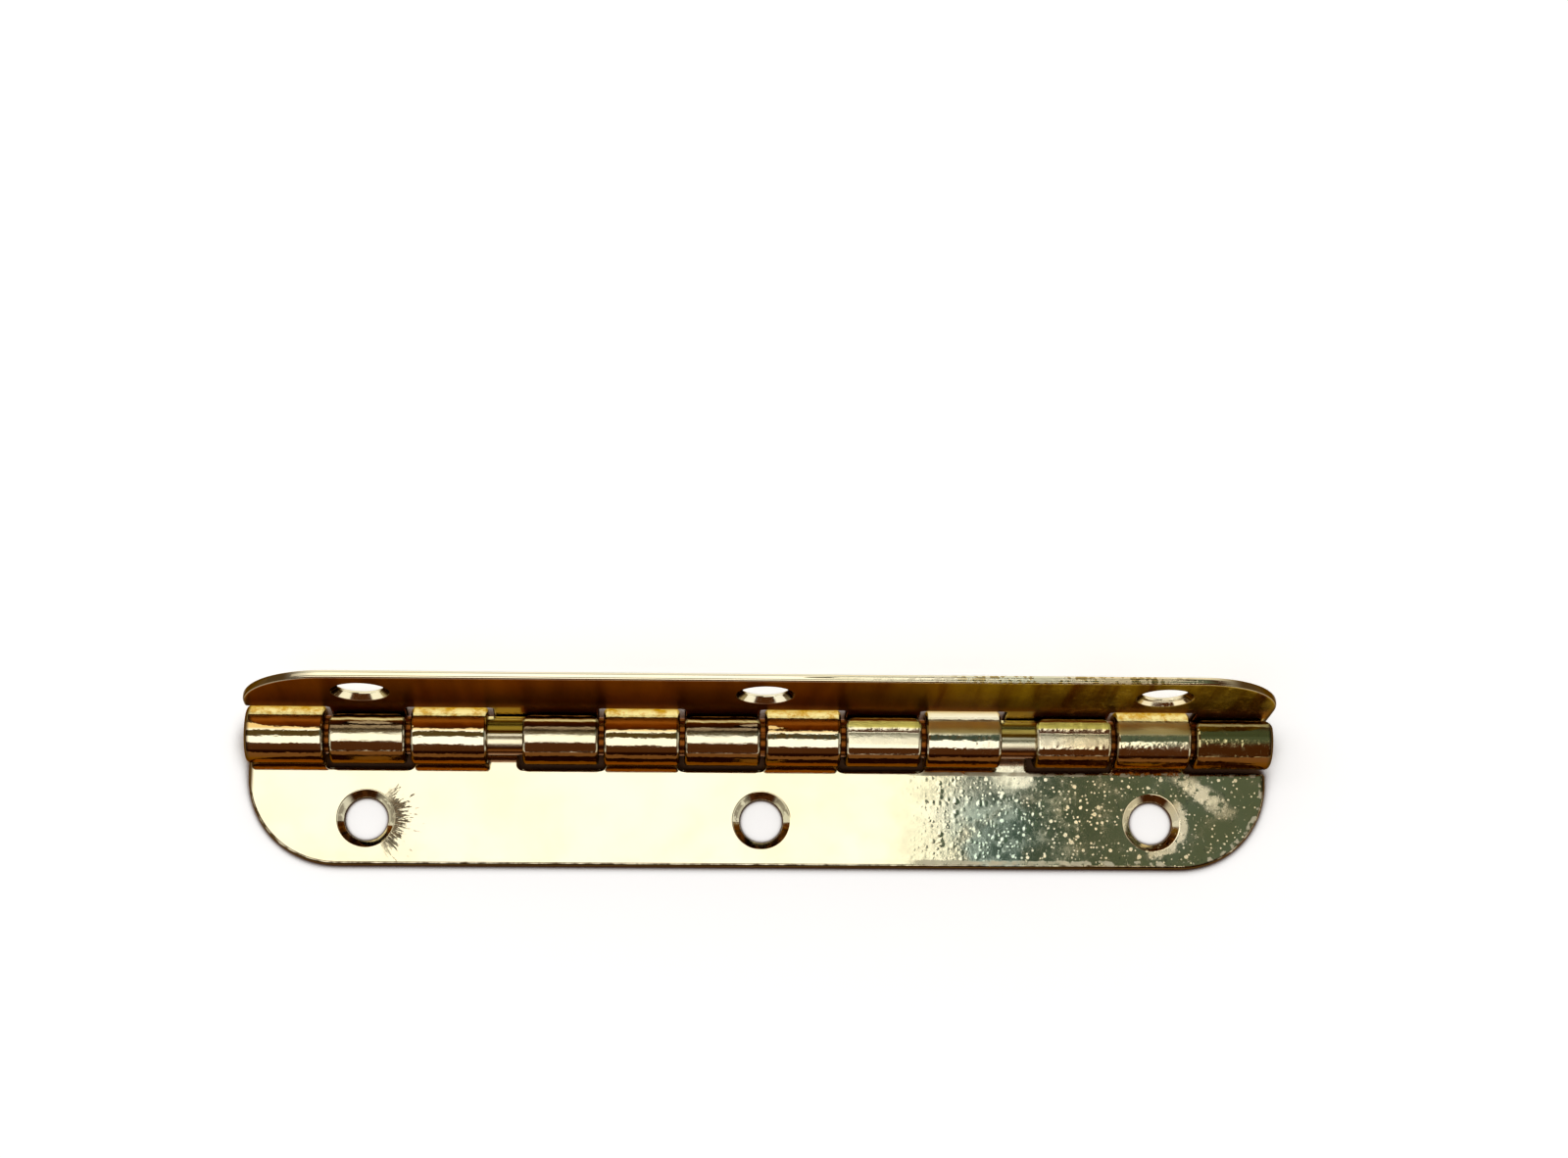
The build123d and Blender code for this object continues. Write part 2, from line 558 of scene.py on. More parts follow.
class LeafBrass(Metal):
    """Bright pale brass of one leaf, laid out on its flat pattern."""

    def __init__(self, name, standing):
        super().__init__(name)
        self.standing = standing
        self.shift = NOISE_SHIFT[standing]
        self.shader.inputs["Specular Tint"].default_value = TINT[standing]
        self.place = self.add("Attribute", attribute_name="pattern").outputs["Vector"]
        flat = self.add("SeparateXYZ", self.place).outputs
        self.x = flat["X"]
        self.depth = flat["Y"]
        self.level = flat["Z"]
        self.across = self.product(self.x, TOWARDS_GRAIN[standing])
        self.outward = self.math("ABSOLUTE", self.x)
        self.turn = self.math("DIVIDE", self.depth, ROLL_TURN)
        self.rolled = self.ramp(self.depth, *ROLLED)
        self.outer = self.ramp(self.level, 0.6 * SHEET, 0.4 * SHEET)
        self.ends = self.ramp(self.outward, *ROUNDED_ENDS)
        self.patchy = self.patches(scale=1.4, detail=3, roughness=0.6, limits=(0.42, 0.58), shift=self.shift)
        mottle = self.patches(scale=0.14, detail=3, roughness=0.5, limits=(0.35, 0.7), shift=self.shift)
        self.colour = self.mix(mottle, BRASS, BRASS_DEEP)
        self.rough = self.patches(
            scale=0.6, detail=3, roughness=0.6, limits=(0.3, 0.75), out=(0.06, 0.11), shift=self.shift
        )
        wave = self.noise(
            self.place, scale=1.2, detail=3, roughness=0.55, stretch=(0.7, 1.5, 1), shift=self.shift
        )
        self.height = self.product(wave, self.rolled, WAVE_HEIGHT)
        self.spots = self.add_grain()
        self.add_stains()

    def patches(self, scale, detail, roughness, limits, out=(0, 1), stretch=(1, 1, 1), shift=(0, 0, 0)):
        """Noise over the leaf, stepped between two limits."""
        return self.ramp(self.noise(self.place, scale, detail, roughness, stretch, shift), *limits, *out)

    def unevenness(self, scale, size):
        """Noise over the leaf, about 0, for lines that aren't quite straight."""
        noise = self.noise(self.place, scale, detail=3, roughness=0.6)
        return self.product(self.less(noise, 0.5), size)

    def skin(self, rise_from, rise_to, fall_from, fall_to):
        """The part of the sheet's thickness between its two faces."""
        return self.band(self.level, rise_from, rise_to, SHEET - fall_from, SHEET - fall_to)

    def cells(self, scale):
        """Distance from the nearest of many scattered points, and the random numbers of that point."""
        node = self.add("TexVoronoi", self.place)
        node.inputs["Scale"].default_value = scale
        return node.outputs["Distance"], self.add("SeparateXYZ", node.outputs["Color"]).outputs

    def specks(self, scale, share):
        """Small domes, 0 to 1, in a share of the cells."""
        far, chance = self.cells(scale)
        return self.product(self.ramp(far, 0.5, 0.05), self.ramp(chance["X"], 1 - share, 1))

    def dots(self, scale, share):
        """Round spots of many sizes, 0 to 1, in a share of the cells."""
        far, chance = self.cells(scale)
        size = self.ramp(chance["Y"], 1 - share, 1, 0, DOT_SIZE)
        return self.ramp(self.less(size, far), 0, DOT_BLUR)

    def add_grain(self):
        """Specks, clouds and round spots that come in towards one end. Gives the spots, 0 to 1."""
        grainy = self.ramp(self.across, *GRAIN)
        uneven = self.patches(
            scale=0.45, detail=2, roughness=0.5, limits=(0.35, 0.65), out=(0.45, 1), shift=self.shift
        )
        large = self.product(self.specks(*LARGE_SPECKS), uneven)
        small = self.product(self.specks(*SMALL_SPECKS), SMALL_SPECK_RISE)
        fine = self.noise(self.place, scale=3.2, detail=2, roughness=0.6, shift=self.shift)
        fine = self.product(fine, GRAIN_HEIGHT / SPECK_HEIGHT)
        height = self.ramp(self.across, *GRAIN_FLATTENS, SPECK_HEIGHT, GRAIN_FLATTEST * SPECK_HEIGHT)
        self.lift(self.total(fine, large, small), self.product(grainy, height))

        clouds = self.patches(scale=0.9, detail=4, roughness=0.65, limits=(0.45, 0.72), shift=self.shift)
        self.roughen(self.product(clouds, grainy), CLOUD_ROUGHNESS)
        spots = self.product(
            self.largest(self.dots(*LARGE_DOTS), self.dots(*SMALL_DOTS)),
            self.ramp(self.across, *DOTS_BEGIN),
            self.ramp(self.across, *DOTS_GROW, DOTS_AT_FIRST, 1),
            self.ramp(self.depth, *ROLLED, DOTS_ON_FLAT[self.standing], DOTS_ON_ROLL),
        )
        self.roughen(spots, DOT_ROUGHNESS[self.standing])
        return spots

    def add_stains(self):
        """Green where the grain begins, and brown towards the end."""
        teal = self.product(
            self.band(self.across, *TEAL),
            self.ramp(self.depth, *TEAL_FADE),
            self.ramp(self.depth, *TEAL_END, 0, TEAL_SHARE[self.standing]),
            self.patches(scale=0.35, detail=3, roughness=0.5, limits=(0.3, 0.5)),
        )
        self.paint(self.product(teal, TEAL_MOST), BRASS_TEAL)
        stain = self.patches(
            scale=0.3, detail=3, roughness=0.5, limits=(0.35, 0.6), out=(0.25, 1), shift=(7, 3, 1)
        )
        self.paint(self.product(stain, self.ramp(self.across, *STAIN)), BRASS_STAIN)

    def add_painted_shade(self, under, edge):
        """Painted shade under the barrel, and painted shade and dark reflection on the cut edges, over all
        else.
        """
        # Painted shade under the barrel.
        self.paint(self.product(under, self.outer), UNDER_BARREL_SHADE)
        # Painted shade and dark reflection on the cut edges, the knuckles' sides and the leaf's ends.
        sides = self.product(self.skin(*SIDE_SKIN), self.rolled, self.ramp(self.patchy, 0, 1, 0.45, 0.95))
        tips = self.ramp(self.outward, *BARREL_ENDS)
        self.paint(self.largest(edge, sides, tips), EDGE_SHADE_AND_SCRATCH)


# Finish of the standing leaf
INNER_SKIN = (SHEET - 0.06, SHEET - 0.01)  # height in the sheet
INNER_FACE = (-0.6, -1.1)  # depth
FACE_ROUGHNESS = 0.22
OLIVE = (2, 20)  # across
FOOT = (-3.4, -2.0)  # depth
FOOT_WARMTH = 0.8
STOP_PATCH = (1.1, 0.85)  # along X from the middle of a stop
STOP_PATCH_FOOT = (-2.3, -1.9)  # depth
STANDING_UNDER = (60, 85, 219, 224)  # turn: painted shade under the barrel
STANDING_SINKS = (-7.4, -7.2, -4.6, -4.0)  # depth
STANDING_SLOTS = (-2.7, -2.3, 2, 3)  # depth

# Curled ends of its knuckles. A lip is the distance from the curled end, in millimetres.
LIP_BURR = (0.18, 0.02)
LIP_RIDGE = (0.18, 0.38, 0.40, 0.56)
LIP_LINES = (0.09, 0.48)
LIP_LINE = (0.14, 0.06)  # to each side
LIP_SEAM_AT = 0.29
LIP_SEAM = (0.03, 0.1)  # to each side
LIP_GOLD = (0.85, 0.7)
LIP_WOBBLE = 0.16
TIP_REACH = 1.1
TIP_FLAT = (1.1, 0.95)
TIP_SLOPE = 0.6
PRESSED = (0, 7, 26, 27.5)  # across: knuckles with flattened ends and crowns
LINE_ROUGHNESS = 0.34
HOOD = (261, 266)  # turn, from the crown to the lip: painted shade
HOOD_AMOUNT = (0.88, 0.12)  # plain and pressed
CROWN = (238, 246, 268, 276)  # turn
CROWN_END = (27, 25.5)  # across
CROWN_ROUGHNESS = (0.1, 0.18)  # plain and pressed
CROWN_TILT_FROM = 200  # turn
CROWN_TILT = 0.12
CROWN_TOP = 255  # turn
CROWN_WIDTH = 20  # turn, to each side of its top
CROWN_FLATNESS = 0.28
LAST_KNUCKLE = (26.5, 27.5)  # across
LAST_DULLNESS = 0.8

# Its top edge
TOP_EDGE = (0.35 - LEAF_WIDTH, 0.15 - LEAF_WIDTH)  # depth
TOP_GLITTER = (3, 10, 24, 27)  # across
TOP_DASHES = (9, 14)  # across
TOP_ROUGHNESS = 0.22


def inner_face(leaf):
    """Painted dark reflection on the inner face of the standing leaf, warmer at its foot and gold by the
    stops.
    """
    inner = leaf.product(leaf.ramp(leaf.level, *INNER_SKIN), leaf.ramp(leaf.depth, *INNER_FACE))
    streaks = leaf.patches(
        scale=0.5, detail=3, roughness=0.6, limits=(0.35, 0.75), stretch=(1.4, 0.12, 1), shift=leaf.shift
    )
    # Painted reflection of dark surroundings, with darker streaks, warmer at the foot and gold by the
    # stops.
    painted_dark = leaf.mix(leaf.ramp(leaf.across, *OLIVE), REFLECTION_AND_SHADE_BROWN, REFLECTION_AND_DASH_OLIVE)
    painted_dark = leaf.mix(streaks, painted_dark, REFLECTION_STREAK_DARK)
    painted_dark = leaf.mix(leaf.ramp(leaf.depth, *FOOT, 0, FOOT_WARMTH), painted_dark, FOOT_REFLECTION_WARM)
    by_stop = leaf.ramp(leaf.apart(leaf.outward, stop_middle), *STOP_PATCH)
    by_stop = leaf.product(by_stop, leaf.ramp(leaf.depth, *STOP_PATCH_FOOT))
    painted_dark = leaf.mix(by_stop, painted_dark, BRASS_GOLD)
    leaf.paint(inner, painted_dark)
    leaf.roughen(inner, FACE_ROUGHNESS)


def curled_ends(leaf):
    """Burred lips and bright crowns of the standing leaf's knuckles, flattened towards the grainy end."""
    pressed = leaf.band(leaf.across, *PRESSED)
    lip = leaf.less(ROLL_ANGLE * mid_radius, leaf.depth)
    lip = leaf.total(lip, leaf.unevenness(1.1, LIP_WOBBLE))
    flattened = leaf.product(pressed, leaf.ramp(lip, *TIP_FLAT))

    burr = leaf.ramp(lip, *LIP_BURR, 0, BURR_HEIGHT)
    ridge = leaf.product(leaf.band(lip, *LIP_RIDGE), RIDGE_HEIGHT)
    tip = leaf.product(leaf.less(TIP_REACH, lip), TIP_SLOPE * MM, flattened)
    tilt = leaf.largest(leaf.less(leaf.turn, CROWN_TILT_FROM), 0)
    tilt = leaf.product(tilt, ROLL_TURN * CROWN_TILT * MM)
    from_top = leaf.largest(leaf.less(leaf.turn, CROWN_TOP), -CROWN_WIDTH)
    from_top = leaf.product(leaf.math("MINIMUM", from_top, CROWN_WIDTH), ROLL_TURN)
    flat_crown = leaf.product(from_top, from_top, CROWN_FLATNESS * MM / barrel_radius, pressed)
    leaf.lift(leaf.total(burr, ridge, tip, tilt, flat_crown), leaf.outer)

    lines = [leaf.ramp(leaf.apart(lip, middle), *LIP_LINE) for middle in LIP_LINES]
    seam = leaf.ramp(leaf.apart(lip, LIP_SEAM_AT), *LIP_SEAM)
    gold = leaf.product(flattened, seam, leaf.ramp(lip, *LIP_GOLD))
    bright = leaf.product(leaf.largest(*lines, gold), leaf.outer)
    hood = leaf.product(leaf.ramp(leaf.turn, *HOOD), leaf.outer, leaf.ramp(pressed, 0, 1, *HOOD_AMOUNT))
    # Painted shade from the crown to the lip.
    leaf.paint(hood, HOOD_SHADE)
    # Painted highlight lines along the lips.
    leaf.paint(bright, leaf.mix(pressed, BRASS_GOLD, BRASS_YELLOW))
    leaf.roughen(bright, LINE_ROUGHNESS)
    crown = leaf.product(leaf.band(leaf.turn, *CROWN), leaf.outer, leaf.ramp(leaf.across, *CROWN_END))
    leaf.roughen(crown, leaf.ramp(pressed, 0, 1, *CROWN_ROUGHNESS))
    last = leaf.product(leaf.ramp(leaf.across, *LAST_KNUCKLE), leaf.rolled)
    leaf.paint(leaf.product(last, LAST_DULLNESS), BRASS_DULL)


def top_edge(leaf):
    """Glitter and dark dashes along the standing leaf's free edge."""
    edge = leaf.product(leaf.ramp(leaf.depth, *TOP_EDGE), leaf.band(leaf.across, *TOP_GLITTER))
    dashes = leaf.noise(leaf.place, scale=2.4, detail=2, roughness=0.5)
    dark = leaf.product(edge, leaf.ramp(dashes, 0.50, 0.42, 0, 0.8), leaf.ramp(leaf.across, *TOP_DASHES))
    leaf.paint(dark, REFLECTION_AND_DASH_OLIVE)
    leaf.roughen(leaf.product(edge, leaf.ramp(dashes, 0.42, 0.56)), TOP_ROUGHNESS)


def standing_finish(name):
    """The standing leaf: its inner face and the curled ends of its knuckles are to the front."""
    leaf = LeafBrass(name, True)
    inner_face(leaf)
    curled_ends(leaf)
    top_edge(leaf)
    sinks = leaf.band(leaf.depth, *STANDING_SINKS)
    slots = leaf.band(leaf.depth, *STANDING_SLOTS)
    # Cut edges at the ends, sinks and slots, which get painted shade and dark reflection.
    edge = leaf.product(leaf.skin(*CUT_SKIN), leaf.largest(leaf.ends, sinks, slots))
    leaf.add_painted_shade(leaf.band(leaf.turn, *STANDING_UNDER), edge)
    return leaf.done(leaf.relief())


# Finish of the front leaf
FRONT_UNDER = (221, 226)  # turn: painted shade under the barrel
PLATE_EDGES = (-2.2, -2.6)  # depth
HOLE_ROW = (-7.3, -7.0, -3.4, -3.0)  # depth
HOLE_ROW_END = (31, 30)  # outward
SINK_LIGHTER_PATCHES = 0.85
SINK_DEEP = (SHEET - 0.14, SHEET - 0.28, 0, 0.6)  # height in the sheet, and how much paler
SINK_PALE = (15, 20, 0, 0.65)  # across, and how much paler
RIM_UNEVEN = 0.3
RIM = (-0.22, -0.06)  # from the outline
RIM_END = (-2.0, -2.8)  # depth
GLINT = (-0.48, -0.38, -0.2, -0.1)  # from the outline
SLOT_GLINT = (-0.34, -0.26, -0.1, -0.02)  # depth from the slots
GLINT_FROM = (9, 11)  # across
GLINT_BREAKS = (14, 24, 0.2, 0.5)  # across, and how much
GLINT_ROUGHNESS = 0.4
GOLDEN = (70, 85, 150, 170)  # turn
PALE_AT = 12.8  # across: the knuckle left without painted gold on its back
PALE_WIDTH = (2, 3)
SATIN = (146, 154, 176, 184)  # turn
SATIN_FROM = (5, 10)  # across
SATIN_ROUGHNESS = 0.3
LINE_ORANGE = 0.8
TAB_PATCH = (1.7, 0.4)  # along X from the middle of the stop
TAB_PATCH_DEPTH = (-3.3, -2.0, -0.4, 0.2)
DENT_ROUGHNESS = 0.2
DENT_LEAN = (-0.09, 0.01, 0)  # how far dents and spots tilt

# Scratches beside its left hole, by distance from the hole's centre and angle round it
SCRATCH_FINENESS = 8
SCRATCH_REACH = (1.75, 1.9, 2.9, 3.8)
SCRATCH_THINS = (1.9, 3.4, 0, 0.25)
SCRATCH_MIDDLE = -0.05
SCRATCH_SPREAD = (1.05, 0.55)
SCRATCH_DARKNESS = 0.92

# Scuffs beside its right hole: part of a ring, and a wedge
SCUFF_REACH = (1.8, 1.9, 2.1, 2.6)
SCUFF_MIDDLE = -0.5
SCUFF_SPREAD = (1.4, 0.9)
WEDGE_PLACE = (28.4, -3.3, 0)
WEDGE_TURN = (0, 0, radians(-33))
WEDGE_SIZE = (2.5, 0.75, 1)
WEDGE_FADE = (1.5, 0.1)


def hole_place(leaf, x):
    """Distance from a screw hole's centre, and the angle round it from +X."""
    along = leaf.less(leaf.x, x)
    up = leaf.total(leaf.depth, axis_y)
    return leaf.length(along, up), leaf.math("ARCTAN2", up, along)


def scratches(leaf):
    """Scratches that fan out beside the left hole, 0 to 1."""
    far, angle = hole_place(leaf, -HOLE_PITCH)
    strip = leaf.add("CombineXYZ", leaf.product(angle, SCRATCH_FINENESS), far, 0).outputs[0]
    lines = leaf.noise(strip, scale=2.2, detail=3, roughness=0.7, stretch=(1, 0.45, 1))
    lines = leaf.ramp(leaf.less(lines, leaf.ramp(far, *SCRATCH_THINS)), 0.40, 0.50)
    side = leaf.ramp(leaf.apart(angle, SCRATCH_MIDDLE), *SCRATCH_SPREAD)
    return leaf.product(lines, leaf.band(far, *SCRATCH_REACH), side)


def scuffs(leaf):
    """Dulled patches by the right hole, 0 to 1."""
    far, angle = hole_place(leaf, HOLE_PITCH)
    side = leaf.ramp(leaf.apart(angle, SCUFF_MIDDLE), *SCUFF_SPREAD)
    ring = leaf.product(leaf.band(far, *SCUFF_REACH), side)
    place = leaf.add("CombineXYZ", leaf.x, leaf.depth, 0).outputs[0]
    turned = leaf.add("Mapping", place, vector_type="TEXTURE")
    turned.inputs["Location"].default_value = WEDGE_PLACE
    turned.inputs["Rotation"].default_value = WEDGE_TURN
    turned.inputs["Scale"].default_value = WEDGE_SIZE
    out = leaf.add("VectorMath", turned.outputs[0], operation="LENGTH").outputs["Value"]
    wedge = leaf.ramp(out, *WEDGE_FADE)
    broken = leaf.ramp(leaf.noise(place, scale=1.6, detail=3, roughness=0.65), 0.3, 0.55)
    return leaf.product(leaf.largest(ring, wedge), broken)


def tab_patch(leaf):
    """A pale patch where the stop tab meets the leaf at the grainy end, 0 to 1."""
    return leaf.product(
        leaf.ramp(leaf.apart(leaf.across, stop_middle), *TAB_PATCH),
        leaf.band(leaf.depth, *TAB_PATCH_DEPTH),
        leaf.patches(scale=1.6, detail=3, roughness=0.65, limits=(0.3, 0.6), out=(0.1, 0.9)),
    )


def rim_distance(leaf):
    """How far inside the leaf's outline a place is, in millimetres, as a negative number."""
    out_x = leaf.less(leaf.outward, leaf_length / 2 - CORNER_RADIUS)
    out_y = leaf.less(leaf.product(leaf.depth, -1), LEAF_WIDTH - CORNER_RADIUS)
    corner = leaf.length(leaf.largest(out_x, 0), leaf.largest(out_y, 0))
    straight = leaf.math("MINIMUM", leaf.largest(out_x, out_y), 0)
    return leaf.less(leaf.total(corner, straight), CORNER_RADIUS)


def front_edges(leaf):
    """Painted shade and dark reflection on the front leaf's edges and sinks, 0 to 1. Bright glints are
    added along them.
    """
    edge = leaf.product(leaf.skin(*CUT_SKIN), leaf.largest(leaf.ramp(leaf.depth, *PLATE_EDGES), leaf.ends))
    in_row = leaf.product(leaf.band(leaf.depth, *HOLE_ROW), leaf.ramp(leaf.outward, *HOLE_ROW_END))
    lighter_patches = leaf.product(leaf.ramp(leaf.patchy, 0, 1, 1, 0.35), SINK_LIGHTER_PATCHES)
    deep = leaf.ramp(leaf.level, *SINK_DEEP)
    paler = leaf.product(in_row, leaf.largest(lighter_patches, deep, leaf.ramp(leaf.across, *SINK_PALE)))
    # The painted dark ring round the sinks is lighter in patches.
    edge = leaf.product(edge, leaf.less(1, paler))

    inside = leaf.total(rim_distance(leaf), leaf.unevenness(1.8, RIM_UNEVEN))
    # Painted shade and dark reflection in a band along the outline.
    rim = leaf.product(leaf.ramp(inside, *RIM), leaf.ramp(leaf.depth, *RIM_END))
    by_slot = leaf.band(leaf.total(leaf.depth, slot_depth), *SLOT_GLINT)
    broken = leaf.noise(leaf.place, scale=1.5, detail=2, roughness=0.5)
    broken = leaf.ramp(broken, leaf.ramp(leaf.across, *GLINT_BREAKS), 0.6)
    glint = leaf.largest(leaf.band(inside, *GLINT), by_slot)
    glint = leaf.product(glint, leaf.ramp(leaf.across, *GLINT_FROM), broken)
    # Painted highlight: the glints are rougher, and painted plain brass.
    leaf.roughen(glint, GLINT_ROUGHNESS)
    leaf.paint(glint, BRASS)
    return leaf.largest(edge, rim)


def knuckle_tops(leaf):
    """Painted reflection on the front leaf's knuckles: gold on their backs, and a line along their tops.
    """
    blotches = leaf.patches(scale=1.3, detail=4, roughness=0.7, limits=(0.42, 0.66))
    painted_gold = leaf.ramp(leaf.apart(leaf.across, PALE_AT), *PALE_WIDTH)
    painted_gold = leaf.product(leaf.band(leaf.turn, *GOLDEN), painted_gold)
    # Painted gold reflection on the knuckles' backs.
    leaf.paint(painted_gold, leaf.mix(blotches, BRASS_GOLD, BRASS_ORANGE))
    line = leaf.band(leaf.turn, *SATIN)
    satin = leaf.ramp(leaf.across, *SATIN_FROM)
    plain = leaf.product(leaf.less(1, satin), LINE_ORANGE)
    # Painted reflection: an orange line on the plain knuckles' tops, and a gold one, also rougher, on the
    # others.
    leaf.paint(leaf.product(line, plain), BRASS_ORANGE)
    leaf.paint(leaf.product(line, satin), BRASS_GOLD)
    leaf.roughen(leaf.product(line, satin), SATIN_ROUGHNESS)


def front_finish(name):
    """The front leaf: its plate is scratched and dented round the outer holes."""
    leaf = LeafBrass(name, False)
    edge = front_edges(leaf)
    knuckle_tops(leaf)
    scratched = scratches(leaf)
    leaf.lift(scratched, SCRATCH_HEIGHT)
    leaf.paint(leaf.product(scratched, SCRATCH_DARKNESS), EDGE_SHADE_AND_SCRATCH)
    dents = leaf.largest(scuffs(leaf), tab_patch(leaf))
    leaf.roughen(dents, DENT_ROUGHNESS)
    leaf.add_painted_shade(leaf.ramp(leaf.turn, *FRONT_UNDER), edge)
    lean = leaf.add("VectorMath", DENT_LEAN, operation="SCALE")
    leaf.feed(lean.inputs["Scale"], leaf.largest(dents, leaf.spots))
    facing = leaf.add("VectorMath", leaf.relief(), lean.outputs[0], operation="ADD").outputs[0]
    return leaf.done(leaf.add("VectorMath", facing, operation="NORMALIZE").outputs[0])


# Finish of the pin. Behind is from -1 at its front to 1 at its back.
WIRE_LINES = (0.3, 0.7)
WIRE_ROUGHNESS = (0.2, 0.3)
SHADE_TURNS_GOLD = (-2 * MM, 2 * MM)  # along X
PIN_SHADED = (-0.14, -0.03)  # behind
PIN_GOLD = (0.66, 0.8)  # behind
PIN_FRONT = (-0.62, -0.76)  # behind
PIN_HIDDEN = ((STOP_WIDTH / 2 + 0.1) * MM, (STOP_WIDTH / 2 + 0.3) * MM)  # from the middle of a gap
PIN_INSIDE = ((leaf_length / 2 - 0.3) * MM, (leaf_length / 2 - 0.5) * MM)  # along X
PIN_CREST = 0.1  # behind
BACK_SLOPE = 0.7
FRONT_SLOPE = -0.14


def pin_finish(name):
    """Drawn brass wire, with painted shade on its back, a painted gold reflection at the very back, and
    darker painted shade where it is hidden or faces the front.
    """
    pin = Metal(name)
    place = pin.add("TexCoord").outputs["Object"]
    at = pin.add("SeparateXYZ", place).outputs
    outward = pin.math("ABSOLUTE", at["X"])
    behind = pin.math("DIVIDE", pin.less(at["Y"], axis_y * MM), PIN_RADIUS * MM)
    lines = pin.noise(place, scale=1000, detail=3, roughness=0.6, stretch=(0.15, 3, 3))
    pin.colour = pin.mix(pin.ramp(lines, *WIRE_LINES), BRASS, BRASS_DEEP)
    pin.rough = pin.ramp(lines, *WIRE_LINES, *WIRE_ROUGHNESS)
    shade = pin.mix(pin.ramp(at["X"], *SHADE_TURNS_GOLD), PIN_SHADE, PIN_SHADE_GOLD)
    pin.paint(pin.ramp(behind, *PIN_SHADED), shade)
    # Painted gold reflection at the back of the pin.
    pin.paint(pin.ramp(behind, *PIN_GOLD), BRASS_GOLD)
    hidden = pin.ramp(pin.apart(outward, stop_middle * MM), *PIN_HIDDEN)
    painted_dark = pin.largest(hidden, pin.ramp(behind, *PIN_FRONT))
    # Painted shade where the pin is hidden or faces the front.
    pin.paint(pin.product(painted_dark, pin.ramp(outward, *PIN_INSIDE)), REFLECTION_AND_SHADE_BROWN)
    back = pin.largest(pin.less(behind, PIN_CREST), 0)
    front = pin.math("MINIMUM", behind, PIN_CREST)
    pin.height = pin.product(lines, WIRE_HEIGHT)
    pin.lift(back, BACK_SLOPE * PIN_RADIUS * MM)
    pin.lift(front, FRONT_SLOPE * PIN_RADIUS * MM)
    return pin.done(pin.relief())


at_pin = Matrix.Translation((0, axis_y, barrel_radius))
stand_up = Matrix.Rotation(radians(180 - opening), 4, "X") @ Matrix.Rotation(radians(180), 4, "Z")
front_brass = front_finish("front_brass_finish")
back_brass = standing_finish("back_brass_finish")
pin_brass = pin_finish("pin_brass_finish")
blank, blank_normals = rolled_leaf()
flat = leaf_mesh("flat_leaf", blank, blank_normals, at_pin)
add_piece(flat, front_brass, "front", "front_leaf")
standing = leaf_mesh("standing_leaf", blank, blank_normals, at_pin @ stand_up)
add_piece(standing, back_brass, "back", "back_leaf")
add_piece(pin_mesh("round_pin", at_pin), pin_brass, "front", "hinge_pin")

# Camera, where the photograph was taken from
IMAGE_WIDTH = 1600
FOCAL_PIXELS = 2737.2
SENSOR_WIDTH = 36
CLIP_START = 0.001
CAMERA_PLACE = Vector((-6.809, axis_y - 32.923, 169.522))
CAMERA_AIM = Vector((1.5, axis_y + 10.928, 0))
CAMERA_UP = Vector((-0.01031, 0.96821, 0.24994))


def add_camera():
    """The camera, turned so that its aim is in the middle of the picture."""
    data = bpy.data.cameras.new("camera")
    data.sensor_width = SENSOR_WIDTH
    data.lens = SENSOR_WIDTH * FOCAL_PIXELS / IMAGE_WIDTH
    data.clip_start = CLIP_START
    camera = bpy.data.objects.new("camera", data)
    bpy.context.scene.collection.objects.link(camera)
    backward = (CAMERA_PLACE - CAMERA_AIM).normalized()
    right = CAMERA_UP.cross(backward).normalized()
    up = backward.cross(right)
    turn = Matrix((right, up, backward)).transposed().to_4x4()
    camera.matrix_world = Matrix.Translation(CAMERA_PLACE * MM) @ turn
    bpy.context.scene.camera = camera


add_camera()

# Floor, in metres
FLOOR_SIZE = 1.5
FLOOR_DROP = 0.02 * MM  # below the hinge, so that the two don't touch
FLOOR_WHITE = (0.9, 0.9, 0.9, 1)
FLOOR_SHADE = (0.15, 0.075, 0.04, 1)  # close under the object
FLOOR_ROUGHNESS = 0.9
FLOOR_GLOW = 0.5
SHADOW_REACH = 0.003
SHADOW_SAMPLES = 16
SHADOW_EDGE = (0.52, 0.85)


def add_floor():
    """A plain white floor. Part of its white is its own, less so close under the object."""
    data = bpy.data.meshes.new("floor")
    mesh = bmesh.new()
    bmesh.ops.create_grid(mesh, x_segments=1, y_segments=1, size=FLOOR_SIZE)
    mesh.to_mesh(data)
    mesh.free()
    floor = bpy.data.objects.new("floor", data)
    floor.location.z = -FLOOR_DROP
    bpy.context.scene.collection.objects.link(floor)
    material = bpy.data.materials.new("floor_paint")
    material.use_nodes = True
    tree = Nodes(material.node_tree)
    nodes = material.node_tree.nodes
    paint = nodes["Principled BSDF"]
    paint.inputs["Roughness"].default_value = FLOOR_ROUGHNESS
    paint.inputs["Specular IOR Level"].default_value = 0
    path = tree.add("LightPath").outputs
    seen = tree.largest(path["Is Camera Ray"], path["Is Glossy Ray"], path["Is Transmission Ray"])
    open_sky = tree.add("AmbientOcclusion", samples=SHADOW_SAMPLES)
    open_sky.inputs["Distance"].default_value = SHADOW_REACH
    clear = tree.ramp(open_sky.outputs["AO"], *SHADOW_EDGE)
    tree.feed(paint.inputs["Base Color"], tree.mix(clear, FLOOR_SHADE, FLOOR_WHITE))
    glow = tree.add("Emission")
    tree.feed(glow.inputs["Strength"], tree.product(seen, clear, FLOOR_GLOW))
    both = tree.add("AddShader", paint.outputs[0], glow.outputs[0])
    tree.feed(nodes["Material Output"].inputs["Surface"], both.outputs[0])
    data.materials.append(material)


add_floor()

